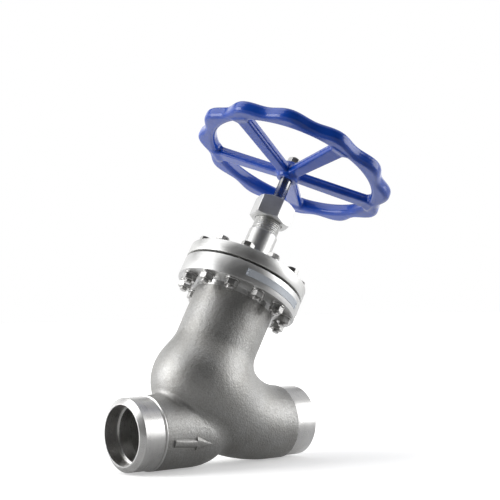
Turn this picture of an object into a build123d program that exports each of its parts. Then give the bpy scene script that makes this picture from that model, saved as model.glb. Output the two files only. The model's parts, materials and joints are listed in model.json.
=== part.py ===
"""Inclined-bonnet (Y-pattern) globe valve with butt-weld ends, bolted bonnet and rising handwheel.

Frame: the origin is the centre of the inlet weld face, +X is the pipe axis in the direction of
flow, +Z is up, and the bonnet axis leans towards the outlet in the XZ plane.  Parts on the bonnet
axis are drawn upright, with their height s measured from the crossing of the two axes, and are
then tilted into place by on_bonnet_axis().
"""

import os
from math import cos, pi, radians, sin

from build123d import *

# --- Pipe line -------------------------------------------------------------------------------
FACE_TO_FACE = 234.0
END_OD = 76.1
END_WALL = 7.1
BORE_R = END_OD / 2 - END_WALL
BODY_BORE_R = 29.0
BORE_STEP_DEPTH = 16.0
LAND_LENGTH_IN = 27.5
LAND_LENGTH_OUT = 28.5
ROOT_FACE = 1.6
BEVEL_DEPTH = 4.2

# --- Casting ---------------------------------------------------------------------------------
BONNET_TILT = 60.0
CROSSING_X = 72.3
WALL = 7.0
INLET_R = 38.6
INLET_SHOULDER = 80.0
INLET_POD_LENGTH = 58.0
OUTLET_R = 39.6
OUTLET_SHOULDER = 52.0
OUTLET_POD_LENGTH = 72.0
CHAMBER_R = 55.0
CHAMBER_S = 50.0
NECK_R = 45.0
NECK_BORE_R = 38.5
PARTITION_BOTTOM_S = 4.0
PARTITION_TOP_S = 12.5

# --- Bonnet joint ----------------------------------------------------------------------------
FLANGE_R = 67.5
BODY_FLANGE_BOTTOM_S = 157.0
BODY_FLANGE_TOP_S = 177.7
BONNET_FLANGE_BOTTOM_S = 180.1
BONNET_FLANGE_TOP_S = 194.0
GASKET_SEAT_S = 174.7
GASKET_THICKNESS = 2.0
GASKET_INNER_R = 40.0
RECESS_R = 48.0
BOLT_COUNT = 12
BOLT_CIRCLE_R = 57.5
BOLT_PHASE = 15.0
BOLT_R = 4.0
BOLT_HOLE_R = 4.5
BOLT_LENGTH = 50.0
HEX_AF = 13.0
HEAD_HEIGHT = 5.3
NUT_HEIGHT = 6.5
WASHER_R = 8.0
WASHER_THICKNESS = 1.6

# --- Bonnet tube, packing and gland ----------------------------------------------------------
TUBE_R = 16.5
TUBE_TOP_S = 240.0
GLAND_THREAD_R = 14.95
GLAND_THREAD_TOP_S = 266.0
BONNET_BOTTOM_S = 168.0
SPIGOT_R = 38.2
BUSH_R = 12.98
BUSH_TOP_S = 194.0
BUSH_FLANGE_R = 17.0
BUSH_FLANGE_HEIGHT = 4.0
STUFFING_BOX_R = 11.0
STUFFING_BOX_S = 205.0
BASE_RING_HEIGHT = 2.0
PACKING_COUNT = 5
PACKING_HEIGHT = 4.5
FOLLOWER_FLANGE_R = 13.8
FOLLOWER_FLANGE_S = 267.0
GLAND_NUT_AF = 41.0
GLAND_NUT_PHASE = 11.0
GLAND_NUT_BOTTOM_S = 254.5
GLAND_NUT_TOP_S = 279.5
GLAND_NUT_CEILING_S = 270.5
WIPER_R = 9.0
WIPER_S = 274.0
WIPER_HEIGHT = 2.5

# --- Stem and disc ---------------------------------------------------------------------------
STEM_R = 7.0
RUNNING_FIT = 0.04
STEM_HEAD_R = 9.5
STEM_HEAD_S = 32.0
STEM_HEAD_HEIGHT = 6.0
BACK_SEAT_R = 10.5
BACK_SEAT_S = 138.0
BACK_SEAT_HEIGHT = 5.0
STEM_SHOULDER_S = 313.0
STEM_SQUARE = 9.5
STEM_SQUARE_TOP_S = 328.0
STEM_STUD_TOP_S = 339.5
SEAT_RING_R = 30.0
SEAT_BORE_R = 25.0
SEAT_TOP_S = 14.0
DISC_R = 29.5
DISC_BOTTOM_S = 17.0
DISC_TOP_S = 27.0
DISC_HUB_R = 14.5
DISC_HUB_TOP_S = 44.0
DISC_SOCKET_R = 9.7
DISC_SOCKET_S = 30.0
DISC_THREAD_R = 11.0
SEAL_OUTER_R = 28.8
SEAL_INNER_R = 12.0
RETAINER_R = 24.4
RETAINER_BOTTOM_S = 10.0
RETAINER_SCREW_HEAD_S = 5.5
RETAINER_SCREW_TOP_S = 24.0
DISC_NUT_AF = 24.0
DISC_NUT_TOP_S = 50.0
CONTACT_GAP = 0.05

# --- Handwheel -------------------------------------------------------------------------------
RIM_INNER_R = 94.5
RIM_LOBE_R = 112.0
LOBE_HEIGHT = 3.6
LOBE_COUNT = 12
LOBE_PHASE = 13.0
RIM_BOTTOM_S = 324.6
RIM_HEIGHT = 15.0
RIM_EDGE_R = 4.5
HUB_R = 12.0
HUB_BOTTOM_S = 310.0
HUB_TOP_S = 329.5
SPOKE_COUNT = 5
SPOKE_PHASE = 44.0
SPOKE_HUB_WIDTH = 13.0
SPOKE_RIM_WIDTH = 17.0
SPOKE_HEIGHT = 10.0
SPOKE_HUB_S = 314.5
TOP_WASHER_R = 8.5
TOP_WASHER_THICKNESS = 1.6

# --- Nameplate on the rim of the body flange -------------------------------------------------
PLATE_START = -125.0
PLATE_SWEEP = 67.0
PLATE_BOTTOM_S = 163.4
PLATE_HEIGHT = 8.0
PLATE_THICKNESS = 0.5
RIVET_R = 1.1
RIVET_HEIGHT = 0.7

BONNET_AXIS = Plane(
    origin=(CROSSING_X, 0, 0),
    x_dir=(sin(radians(BONNET_TILT)), 0, -cos(radians(BONNET_TILT))),
    z_dir=(cos(radians(BONNET_TILT)), 0, sin(radians(BONNET_TILT))),
)


def on_bonnet_axis(shape):
    """Tilts an upright shape from the Z axis onto the bonnet axis."""
    return BONNET_AXIS.location * shape


def turned(*profile):
    """A solid of revolution about Z from a closed outline of (radius, height) points."""
    outline = Plane.XZ * make_face(Polyline(*profile, close=True))
    return revolve(outline, Axis.Z)


def cylinder(radius, bottom, top):
    """An upright cylinder between two heights."""
    return Pos(0, 0, bottom) * Cylinder(radius, top - bottom, align=(Align.CENTER, Align.CENTER, Align.MIN))


def ring(inner, outer, bottom, top):
    """An upright ring of rectangular section."""
    return turned((inner, bottom), (outer, bottom), (outer, top), (inner, top))


def pipe_cylinder(radius, start, end):
    """A cylinder along the pipe axis between two distances from the inlet face."""
    return Rot(0, 90, 0) * cylinder(radius, start, end)


def pod(radius, start, shoulder, length):
    """A round-ended branch along +X: a cylinder up to the shoulder, then half an egg."""
    tip = shoulder + length
    outline = [
        Line((start, 0), (start, radius)),
        Line((start, radius), (shoulder, radius)),
        EllipticalCenterArc((shoulder, 0), length, radius, start_angle=0, arc_size=90),
        Line((tip, 0), (start, 0)),
    ]
    return revolve(Plane.XZ * make_face(outline), Axis.X)


def from_outlet(shape):
    """Turns a shape drawn from the inlet face round, so that it starts at the outlet face."""
    return Pos(FACE_TO_FACE, 0, 0) * Rot(0, 0, 180) * shape


def hex_prism(across_flats, bottom, top, chamfered_top=True, chamfered_bottom=False):
    """A hexagonal prism with its corners turned off on one or both ends."""
    corner = across_flats / 2 / cos(pi / 6)
    flat = across_flats / 2
    drop = (corner - flat) * 0.6
    prism = Pos(0, 0, bottom) * extrude(RegularPolygon(corner, 6), amount=top - bottom)
    low_r = flat if chamfered_bottom else corner + 1
    high_r = flat if chamfered_top else corner + 1
    envelope = turned(
        (0, bottom),
        (low_r, bottom),
        (corner + 0.2, bottom + drop),
        (corner + 0.2, top - drop),
        (high_r, top),
        (0, top),
    )
    return prism & envelope


def around(shape, count, phase, radius=0.0):
    """Copies of a shape spaced evenly about Z, each pushed out by a radius."""
    step = 360.0 / count
    return [Rot(0, 0, phase + step * i) * Pos(radius, 0, 0) * shape for i in range(count)]


def bolt_pattern(shape):
    return around(shape, BOLT_COUNT, BOLT_PHASE, BOLT_CIRCLE_R)


# --- Body --------------------------------------------------------------------------------------


def weld_end(length):
    """One machined weld end, its face at the origin and its length along +X."""
    outer = END_OD / 2
    profile = turned(
        (0, 0),
        (BORE_R + ROOT_FACE, 0),
        (outer, BEVEL_DEPTH),
        (outer, length),
        (0, length),
    )
    return Rot(0, 90, 0) * profile


def slab(bottom, top):
    """The space between two planes square to the bonnet axis, as a wide block."""
    block = Pos(0, 0, bottom) * Box(600, 600, top - bottom, align=(Align.CENTER, Align.CENTER, Align.MIN))
    return on_bonnet_axis(block)


def body_outside():
    above_partition = slab(PARTITION_BOTTOM_S, 600)
    inlet = pod(INLET_R, LAND_LENGTH_IN, INLET_SHOULDER, INLET_POD_LENGTH)
    inlet = inlet & slab(-300, PARTITION_TOP_S)
    outlet = from_outlet(pod(OUTLET_R, LAND_LENGTH_OUT, OUTLET_SHOULDER, OUTLET_POD_LENGTH))
    outlet = outlet & above_partition
    chamber = on_bonnet_axis(Pos(0, 0, CHAMBER_S) * Sphere(CHAMBER_R)) & above_partition
    neck = on_bonnet_axis(cylinder(NECK_R, CHAMBER_S, BODY_FLANGE_BOTTOM_S))
    flange = on_bonnet_axis(cylinder(FLANGE_R, BODY_FLANGE_BOTTOM_S, BODY_FLANGE_TOP_S))
    near_end = weld_end(LAND_LENGTH_IN + 1)
    far_end = from_outlet(weld_end(LAND_LENGTH_OUT + 1))
    return chamber + inlet + outlet + neck + flange + near_end + far_end


def body_passages():
    """The flow path: in under the seat, up through it, and out of the chamber."""
    inlet = pod(BODY_BORE_R, BORE_STEP_DEPTH, INLET_SHOULDER, INLET_POD_LENGTH - WALL)
    inlet = inlet & slab(-300, PARTITION_BOTTOM_S)
    outlet = from_outlet(pod(BODY_BORE_R, BORE_STEP_DEPTH, OUTLET_SHOULDER, OUTLET_POD_LENGTH - WALL))
    outlet = outlet & slab(PARTITION_TOP_S + 1.5, 600)
    chamber = on_bonnet_axis(Pos(0, 0, CHAMBER_S) * Sphere(CHAMBER_R - WALL))
    chamber = chamber & slab(PARTITION_TOP_S, 600)
    neck = on_bonnet_axis(cylinder(NECK_BORE_R, CHAMBER_S, GASKET_SEAT_S))
    recess = on_bonnet_axis(cylinder(RECESS_R, GASKET_SEAT_S, BODY_FLANGE_TOP_S + 1))
    throat = on_bonnet_axis(cylinder(SEAT_BORE_R + 1, PARTITION_BOTTOM_S - 8, PARTITION_TOP_S))
    pocket_r = SEAT_RING_R + CONTACT_GAP
    seat_pocket = on_bonnet_axis(cylinder(pocket_r, PARTITION_BOTTOM_S + 1, SEAT_TOP_S + 3))
    entry = pipe_cylinder(BORE_R, -1, BORE_STEP_DEPTH)
    leave = from_outlet(entry)
    return [inlet, outlet, chamber, neck, recess, throat, seat_pocket, entry, leave]


def body_casting():
    body = body_outside()
    for passage in body_passages():
        body -= passage
    hole = cylinder(BOLT_HOLE_R, BODY_FLANGE_BOTTOM_S - 1, BODY_FLANGE_TOP_S + 1)
    for bolt_hole in bolt_pattern(hole):
        body -= on_bonnet_axis(bolt_hole)
    return body


def seat_ring():
    return turned(
        (SEAT_BORE_R, PARTITION_BOTTOM_S + 1),
        (SEAT_RING_R, PARTITION_BOTTOM_S + 1),
        (SEAT_RING_R, SEAT_TOP_S - 1.2),
        (SEAT_RING_R - 1.2, SEAT_TOP_S),
        (SEAT_BORE_R + 0.8, SEAT_TOP_S),
        (SEAT_BORE_R, SEAT_TOP_S - 0.8),
    )


# --- Bonnet and gland --------------------------------------------------------------------------


def bonnet():
    face_s = GASKET_SEAT_S + GASKET_THICKNESS
    shell = turned(
        (BUSH_R + 0.02, BONNET_BOTTOM_S),
        (SPIGOT_R, BONNET_BOTTOM_S),
        (SPIGOT_R, face_s),
        (RECESS_R - 0.4, face_s),
        (RECESS_R - 0.4, BONNET_FLANGE_BOTTOM_S),
        (FLANGE_R - 0.6, BONNET_FLANGE_BOTTOM_S),
        (FLANGE_R, BONNET_FLANGE_BOTTOM_S + 0.6),
        (FLANGE_R, BONNET_FLANGE_TOP_S - 1.0),
        (FLANGE_R - 1.0, BONNET_FLANGE_TOP_S),
        (TUBE_R + 2.0, BONNET_FLANGE_TOP_S),
        (TUBE_R, BONNET_FLANGE_TOP_S + 2.0),
        (TUBE_R, TUBE_TOP_S - 1.5),
        (GLAND_THREAD_R, TUBE_TOP_S),
        (GLAND_THREAD_R, GLAND_THREAD_TOP_S - 1.0),
        (GLAND_THREAD_R - 1.0, GLAND_THREAD_TOP_S),
        (STUFFING_BOX_R, GLAND_THREAD_TOP_S),
        (STUFFING_BOX_R, STUFFING_BOX_S),
        (STEM_R + 0.3, STUFFING_BOX_S),
        (STEM_R + 0.3, BUSH_TOP_S),
        (BUSH_R + 0.02, BUSH_TOP_S),
    )
    hole = cylinder(BOLT_HOLE_R, BONNET_FLANGE_BOTTOM_S - 1, BONNET_FLANGE_TOP_S + 1)
    for bolt_hole in bolt_pattern(hole):
        shell -= bolt_hole
    return shell


def stem_bush():
    fit = STEM_R + RUNNING_FIT
    return turned(
        (fit, BONNET_BOTTOM_S - BUSH_FLANGE_HEIGHT + 1),
        (fit + 1, BONNET_BOTTOM_S - BUSH_FLANGE_HEIGHT),
        (BUSH_FLANGE_R, BONNET_BOTTOM_S - BUSH_FLANGE_HEIGHT),
        (BUSH_FLANGE_R, BONNET_BOTTOM_S),
        (BUSH_R, BONNET_BOTTOM_S),
        (BUSH_R, BUSH_TOP_S),
        (fit, BUSH_TOP_S),
    )


def bonnet_gasket():
    return ring(GASKET_INNER_R, RECESS_R - 0.2, GASKET_SEAT_S, GASKET_SEAT_S + GASKET_THICKNESS)


def packing_base_ring():
    top = STUFFING_BOX_S + BASE_RING_HEIGHT
    return ring(STEM_R + 0.25, STUFFING_BOX_R - CONTACT_GAP, STUFFING_BOX_S, top)


def packing_ring(index):
    bottom = STUFFING_BOX_S + BASE_RING_HEIGHT + index * PACKING_HEIGHT
    return ring(STEM_R + RUNNING_FIT, STUFFING_BOX_R - RUNNING_FIT, bottom, bottom + PACKING_HEIGHT - 0.05)


def gland_follower():
    bottom = STUFFING_BOX_S + BASE_RING_HEIGHT + PACKING_COUNT * PACKING_HEIGHT
    bore = STEM_R + 0.2
    return turned(
        (bore, bottom),
        (STUFFING_BOX_R - 0.1, bottom),
        (STUFFING_BOX_R - 0.1, FOLLOWER_FLANGE_S),
        (FOLLOWER_FLANGE_R, FOLLOWER_FLANGE_S),
        (FOLLOWER_FLANGE_R, GLAND_NUT_CEILING_S),
        (bore, GLAND_NUT_CEILING_S),
    )


def gland_nut():
    nut = hex_prism(GLAND_NUT_AF, GLAND_NUT_BOTTOM_S, GLAND_NUT_TOP_S, True, True)
    inside = turned(
        (0, GLAND_NUT_BOTTOM_S - 1),
        (GLAND_THREAD_R + 1.05, GLAND_NUT_BOTTOM_S - 1),
        (GLAND_THREAD_R + CONTACT_GAP, GLAND_NUT_BOTTOM_S + 1),
        (GLAND_THREAD_R + CONTACT_GAP, GLAND_NUT_CEILING_S),
        (STEM_R + 0.25, GLAND_NUT_CEILING_S),
        (STEM_R + 0.25, WIPER_S),
        (WIPER_R, WIPER_S),
        (WIPER_R, WIPER_S + WIPER_HEIGHT),
        (STEM_R + 0.25, WIPER_S + WIPER_HEIGHT),
        (STEM_R + 0.25, GLAND_NUT_TOP_S + 1),
        (0, GLAND_NUT_TOP_S + 1),
    )
    return Rot(0, 0, GLAND_NUT_PHASE) * (nut - inside)


def stem_wiper():
    bottom = WIPER_S + CONTACT_GAP
    top = WIPER_S + WIPER_HEIGHT - CONTACT_GAP
    return ring(STEM_R + RUNNING_FIT, WIPER_R - CONTACT_GAP, bottom, top)


# --- Bonnet fasteners --------------------------------------------------------------------------


def bonnet_bolt():
    seat = BONNET_FLANGE_TOP_S + WASHER_THICKNESS
    head = hex_prism(HEX_AF, seat, seat + HEAD_HEIGHT)
    tip = seat - BOLT_LENGTH
    shank = turned((0, tip), (BOLT_R - 0.8, tip), (BOLT_R, tip + 0.8), (BOLT_R, seat), (0, seat))
    return head + shank


def bonnet_nut():
    top = BODY_FLANGE_BOTTOM_S - WASHER_THICKNESS
    nut = hex_prism(HEX_AF, top - NUT_HEIGHT, top, False, True)
    return nut - cylinder(BOLT_R + RUNNING_FIT, top - NUT_HEIGHT - 1, top + 1)


def flat_washer(outer, inner, bottom, thickness):
    edge = thickness * 0.2
    return turned(
        (inner, bottom),
        (outer - edge, bottom),
        (outer, bottom + edge),
        (outer, bottom + thickness - edge),
        (outer - edge, bottom + thickness),
        (inner, bottom + thickness),
    )


# --- Stem and disc -----------------------------------------------------------------------------


def stem():
    shaft = turned(
        (0, STEM_HEAD_S),
        (STEM_HEAD_R - 1, STEM_HEAD_S),
        (STEM_HEAD_R, STEM_HEAD_S + 1),
        (STEM_HEAD_R, STEM_HEAD_S + STEM_HEAD_HEIGHT),
        (STEM_R, STEM_HEAD_S + STEM_HEAD_HEIGHT),
        (STEM_R, BACK_SEAT_S),
        (BACK_SEAT_R, BACK_SEAT_S),
        (BACK_SEAT_R, BACK_SEAT_S + BACK_SEAT_HEIGHT - 2),
        (BACK_SEAT_R - 2, BACK_SEAT_S + BACK_SEAT_HEIGHT),
        (STEM_R, BACK_SEAT_S + BACK_SEAT_HEIGHT),
        (STEM_R, STEM_SHOULDER_S - 0.5),
        (STEM_R - 0.5, STEM_SHOULDER_S),
        (0, STEM_SHOULDER_S),
    )
    square = Pos(0, 0, STEM_SHOULDER_S) * Box(
        STEM_SQUARE,
        STEM_SQUARE,
        STEM_SQUARE_TOP_S - STEM_SHOULDER_S,
        align=(Align.CENTER, Align.CENTER, Align.MIN),
    )
    square = square & cylinder(STEM_R - 0.4, STEM_SHOULDER_S, STEM_SQUARE_TOP_S)
    stud = turned(
        (0, STEM_SQUARE_TOP_S),
        (BOLT_R, STEM_SQUARE_TOP_S),
        (BOLT_R, STEM_STUD_TOP_S - 0.8),
        (BOLT_R - 0.8, STEM_STUD_TOP_S),
        (0, STEM_STUD_TOP_S),
    )
    return shaft + square + stud


def thrust_pad():
    return cylinder(STEM_HEAD_R - 3, DISC_SOCKET_S + CONTACT_GAP, STEM_HEAD_S - CONTACT_GAP)


def disc():
    thread_start = STEM_HEAD_S + STEM_HEAD_HEIGHT + 0.2
    bore = BOLT_R + RUNNING_FIT
    return turned(
        (bore, DISC_BOTTOM_S),
        (DISC_R, DISC_BOTTOM_S),
        (DISC_R, DISC_TOP_S - 3),
        (DISC_R - 3, DISC_TOP_S),
        (DISC_HUB_R, DISC_TOP_S),
        (DISC_HUB_R, DISC_HUB_TOP_S),
        (DISC_THREAD_R, DISC_HUB_TOP_S),
        (DISC_THREAD_R, thread_start),
        (DISC_SOCKET_R, thread_start),
        (DISC_SOCKET_R, DISC_SOCKET_S),
        (0, DISC_SOCKET_S),
        (0, RETAINER_SCREW_TOP_S + 2),
        (bore, RETAINER_SCREW_TOP_S + 2),
    )


def disc_nut():
    thread_start = STEM_HEAD_S + STEM_HEAD_HEIGHT + 0.3
    sleeve = cylinder(DISC_THREAD_R - CONTACT_GAP, thread_start, DISC_HUB_TOP_S)
    head = hex_prism(DISC_NUT_AF, DISC_HUB_TOP_S, DISC_NUT_TOP_S)
    return sleeve + head - cylinder(STEM_R + 0.3, thread_start - 1, DISC_NUT_TOP_S + 1)


def disc_seal_ring():
    return ring(SEAL_INNER_R, SEAL_OUTER_R, SEAT_TOP_S + CONTACT_GAP, DISC_BOTTOM_S)


def seal_retainer():
    hole = BOLT_R + 0.3
    return turned(
        (hole, RETAINER_BOTTOM_S),
        (RETAINER_R - 2, RETAINER_BOTTOM_S),
        (RETAINER_R, RETAINER_BOTTOM_S + 2),
        (RETAINER_R, SEAT_TOP_S + CONTACT_GAP),
        (SEAL_INNER_R - CONTACT_GAP, SEAT_TOP_S + CONTACT_GAP),
        (SEAL_INNER_R - CONTACT_GAP, DISC_BOTTOM_S),
        (hole, DISC_BOTTOM_S),
    )


def retainer_screw():
    head = hex_prism(HEX_AF, RETAINER_SCREW_HEAD_S, RETAINER_BOTTOM_S, False, True)
    return head + cylinder(BOLT_R, RETAINER_BOTTOM_S, RETAINER_SCREW_TOP_S)


# --- Handwheel ---------------------------------------------------------------------------------


def lobed_outline():
    """The wavy outside of the rim, as one closed curve."""
    steps = LOBE_COUNT * 4
    points = []
    for i in range(steps):
        angle = 2 * pi * i / steps
        radius = RIM_LOBE_R + LOBE_HEIGHT * cos(LOBE_COUNT * angle)
        points.append((radius * cos(angle), radius * sin(angle)))
    return Rot(0, 0, LOBE_PHASE) * Spline(*points, periodic=True)


def rim():
    face = make_face(lobed_outline()) - Circle(RIM_INNER_R)
    band = Pos(0, 0, RIM_BOTTOM_S) * extrude(face, amount=RIM_HEIGHT)
    return fillet(band.edges().filter_by(GeomType.LINE, reverse=True), RIM_EDGE_R)


def spoke():
    """One spoke, sloping up from the hub to the underside of the rim."""
    rise = RIM_BOTTOM_S + 0.5 - SPOKE_HUB_S
    inner, outer = HUB_R - 3, RIM_INNER_R + 3
    side = Polyline(
        (inner, SPOKE_HUB_S),
        (outer, SPOKE_HUB_S + rise),
        (outer, SPOKE_HUB_S + rise + SPOKE_HEIGHT),
        (inner, SPOKE_HUB_S + SPOKE_HEIGHT),
        close=True,
    )
    web = extrude(Plane.XZ * make_face(side), amount=SPOKE_RIM_WIDTH, both=True)
    plan = Polyline(
        (inner, -SPOKE_HUB_WIDTH / 2),
        (outer, -SPOKE_RIM_WIDTH / 2),
        (outer, SPOKE_RIM_WIDTH / 2),
        (inner, SPOKE_HUB_WIDTH / 2),
        close=True,
    )
    return web & Pos(0, 0, SPOKE_HUB_S - 1) * extrude(make_face(plan), amount=RIM_HEIGHT * 3)


def handwheel():
    wheel = rim() + cylinder(HUB_R, HUB_BOTTOM_S, HUB_TOP_S)
    for arm in around(spoke(), SPOKE_COUNT, SPOKE_PHASE):
        wheel += arm
    square = Pos(0, 0, STEM_SHOULDER_S - 1) * Box(
        STEM_SQUARE + 0.1,
        STEM_SQUARE + 0.1,
        HUB_TOP_S - STEM_SHOULDER_S + 2,
        align=(Align.CENTER, Align.CENTER, Align.MIN),
    )
    wheel -= square
    return wheel - cylinder(STEM_R + 0.1, HUB_BOTTOM_S - 1, STEM_SHOULDER_S + CONTACT_GAP)


def handwheel_washer():
    return flat_washer(TOP_WASHER_R, BOLT_R + 0.2, HUB_TOP_S, TOP_WASHER_THICKNESS)


def handwheel_nut():
    bottom = HUB_TOP_S + TOP_WASHER_THICKNESS
    nut = hex_prism(HEX_AF, bottom, bottom + NUT_HEIGHT)
    return nut - cylinder(BOLT_R + RUNNING_FIT, bottom - 1, bottom + NUT_HEIGHT + 1)


# --- Nameplate -----------------------------------------------------------------------------------


def nameplate():
    section = Plane.XZ * make_face(
        Polyline(
            (FLANGE_R, PLATE_BOTTOM_S),
            (FLANGE_R + PLATE_THICKNESS, PLATE_BOTTOM_S),
            (FLANGE_R + PLATE_THICKNESS, PLATE_BOTTOM_S + PLATE_HEIGHT),
            (FLANGE_R, PLATE_BOTTOM_S + PLATE_HEIGHT),
            close=True,
        )
    )
    return Rot(0, 0, PLATE_START) * revolve(section, Axis.Z, revolution_arc=PLATE_SWEEP)


def nameplate_rivets():
    """Four small domed rivet heads, two at each end of the plate."""
    dome_r = (RIVET_R**2 + RIVET_HEIGHT**2) / (2 * RIVET_HEIGHT)
    dome = Pos(0, 0, RIVET_HEIGHT - dome_r) * Sphere(dome_r) & cylinder(RIVET_R * 2, 0, RIVET_HEIGHT * 2)
    head = Pos(FLANGE_R + PLATE_THICKNESS, 0, 0) * Rot(0, 90, 0) * dome
    heads = []
    for angle in (PLATE_START + 1.6, PLATE_START + PLATE_SWEEP - 1.6):
        for share in (0.27, 0.73):
            heads.append(Rot(0, 0, angle) * Pos(0, 0, PLATE_BOTTOM_S + share * PLATE_HEIGHT) * head)
    return heads


# --- Every node ----------------------------------------------------------------------------------


def grouped(shapes):
    return Compound(children=[on_bonnet_axis(shape) for shape in shapes])


def nodes():
    """Each sub-part by name, in its place on the closed valve."""
    upright = {
        "seat_ring": seat_ring(),
        "bonnet": bonnet(),
        "bonnet_gasket": bonnet_gasket(),
        "stem_bush": stem_bush(),
        "packing_base_ring": packing_base_ring(),
        "gland_follower": gland_follower(),
        "gland_nut": gland_nut(),
        "stem_wiper": stem_wiper(),
        "stem": stem(),
        "thrust_pad": thrust_pad(),
        "disc": disc(),
        "disc_nut": disc_nut(),
        "disc_seal_ring": disc_seal_ring(),
        "seal_retainer": seal_retainer(),
        "retainer_screw": retainer_screw(),
        "handwheel": handwheel(),
        "handwheel_washer": handwheel_washer(),
        "handwheel_nut": handwheel_nut(),
        "nameplate": nameplate(),
    }
    made = {name: on_bonnet_axis(shape) for name, shape in upright.items()}
    made["body_casting"] = body_casting()
    washer_bore = BOLT_R + 0.3
    head_washer = flat_washer(WASHER_R, washer_bore, BONNET_FLANGE_TOP_S, WASHER_THICKNESS)
    nut_washer_s = BODY_FLANGE_BOTTOM_S - WASHER_THICKNESS
    nut_washer = flat_washer(WASHER_R, washer_bore, nut_washer_s, WASHER_THICKNESS)
    made["bonnet_bolts"] = grouped(bolt_pattern(bonnet_bolt()))
    made["bonnet_nuts"] = grouped(bolt_pattern(bonnet_nut()))
    made["bolt_head_washers"] = grouped(bolt_pattern(head_washer))
    made["bolt_nut_washers"] = grouped(bolt_pattern(nut_washer))
    made["packing_rings"] = grouped([packing_ring(i) for i in range(PACKING_COUNT)])
    made["nameplate_rivets"] = grouped(nameplate_rivets())
    return made


os.makedirs("parts", exist_ok=True)
for name, shape in nodes().items():
    export_step(shape, f"parts/{name}.step")
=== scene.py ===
"""The looks of the inclined-bonnet globe valve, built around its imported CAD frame.

Drawing is done in millimetres in two frames: the pipe frame (x along the pipe from the inlet face)
and the bonnet frame (upright, height s from the crossing of the two axes).  new_object() scales
the points to metres, and the matrices BONNET, INLET and OUTLET put them in the row frame.
"""

import json
from math import cos, pi, radians, sin, tan

import bpy
import numpy as np
from mathutils import Matrix, Vector


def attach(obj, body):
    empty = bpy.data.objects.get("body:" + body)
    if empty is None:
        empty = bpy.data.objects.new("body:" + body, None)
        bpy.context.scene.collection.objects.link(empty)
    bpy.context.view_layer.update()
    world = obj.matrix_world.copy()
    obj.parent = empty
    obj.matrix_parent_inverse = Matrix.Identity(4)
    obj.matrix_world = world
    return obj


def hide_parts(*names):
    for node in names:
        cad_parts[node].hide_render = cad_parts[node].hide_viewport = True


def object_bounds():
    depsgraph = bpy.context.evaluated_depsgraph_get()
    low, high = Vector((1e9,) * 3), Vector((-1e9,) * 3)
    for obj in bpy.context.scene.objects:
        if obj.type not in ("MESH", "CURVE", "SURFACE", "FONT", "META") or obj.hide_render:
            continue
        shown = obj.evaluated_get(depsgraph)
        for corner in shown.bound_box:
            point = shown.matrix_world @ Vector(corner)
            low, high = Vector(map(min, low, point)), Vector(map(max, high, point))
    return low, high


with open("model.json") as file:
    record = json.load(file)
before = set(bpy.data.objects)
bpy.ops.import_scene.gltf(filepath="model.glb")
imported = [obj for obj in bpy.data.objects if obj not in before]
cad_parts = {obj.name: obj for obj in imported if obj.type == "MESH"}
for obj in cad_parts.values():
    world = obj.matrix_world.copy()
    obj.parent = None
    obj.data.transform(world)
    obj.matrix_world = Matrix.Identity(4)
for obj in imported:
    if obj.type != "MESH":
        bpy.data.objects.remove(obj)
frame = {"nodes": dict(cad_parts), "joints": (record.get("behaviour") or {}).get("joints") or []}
CAD_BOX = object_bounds()

MM = 0.001

# --- Frames taken from the CAD ---------------------------------------------------------------
LIFT = next(j for j in frame["joints"] if j["name"] == "stem_lift")
TURN = next(j for j in frame["joints"] if j["name"] == "handwheel_turn")
AXIS = Vector(LIFT["axis"]).normalized()
PIVOT = Vector(TURN["pos_m"])
CROSSING = PIVOT - AXIS * (PIVOT.z / AXIS.z)
CROSSING_X = CROSSING.x / MM
ACROSS = Vector((AXIS.z, 0, -AXIS.x))

BONNET = Matrix.Translation(CROSSING) @ Matrix(
    ((ACROSS.x, 0, AXIS.x, 0), (0, 1, 0, 0), (ACROSS.z, 0, AXIS.z, 0), (0, 0, 0, 1))
)
INLET = Matrix(((0, 0, 1, 0), (0, 1, 0, 0), (-1, 0, 0, 0), (0, 0, 0, 1)))
FACE_TO_FACE = 234.0
OUTLET = Matrix.Translation((FACE_TO_FACE * MM, 0, 0)) @ Matrix.Rotation(pi, 4, "Z") @ INLET

# --- Weld ends -------------------------------------------------------------------------------
BORE_R = 30.95
END_R = 38.05
ROOT_FACE = 1.5
BEVEL_DEPTH = 4.4
LAND_LENGTH = 27.4
GROOVE_DEPTH = 0.8
BORE_STEP = 16.0

# --- Body casting ----------------------------------------------------------------------------
WALL = 7.0
CAST_START = 30.0
CAST_CELL = 1.25
INLET_R, INLET_SHOULDER, INLET_LENGTH = 39.2, 80.0, 52.0
OUTLET_R, OUTLET_SHOULDER, OUTLET_LENGTH = 39.5, 182.0, 72.0
PASSAGE_R = 29.0
CHAMBER_R, CHAMBER_S = 52.7, 57.0
NECK_R, NECK_BORE_R = 44.3, 37.8
CHAMBER_FILLET, NECK_FILLET, INLET_FILLET = 60.0, 8.0, 6.0
THROAT_R = 26.0
DISC_CLEARANCE_R = 30.5
PARTITION_BOTTOM_S, PARTITION_TOP_S = 4.0, 12.5

# --- Bonnet joint ----------------------------------------------------------------------------
FLANGE_R = 67.5
RECESS_R, GASKET_SEAT_S = 48.0, 174.7
SPIGOT_R, SPIGOT_BOTTOM_S, SPIGOT_SEAT_S = 38.2, 168.0, 176.7
NECK_OVERLAP = 6.0
BODY_FLANGE_S = (157.0, 177.7)
BONNET_FLANGE_S = (180.1, 194.0)

# --- Bonnet and gland ------------------------------------------------------------------------
TUBE_R, TUBE_TOP_S = 16.5, 240.0
GLAND_THREAD = {"radius": 14.95, "pitch": 2.3, "top": 266.0}
THREAD_END_S = 257.0
TUBE_BORE_R = 11.0
GLAND_NUT_S = (254.5, 279.5)
GLAND_NUT_FLATS, GLAND_NUT_BORE_R, GLAND_NUT_CEILING_S = 41.0, 15.0, 270.5
GLAND_NUT_TURN = -19.0

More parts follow.
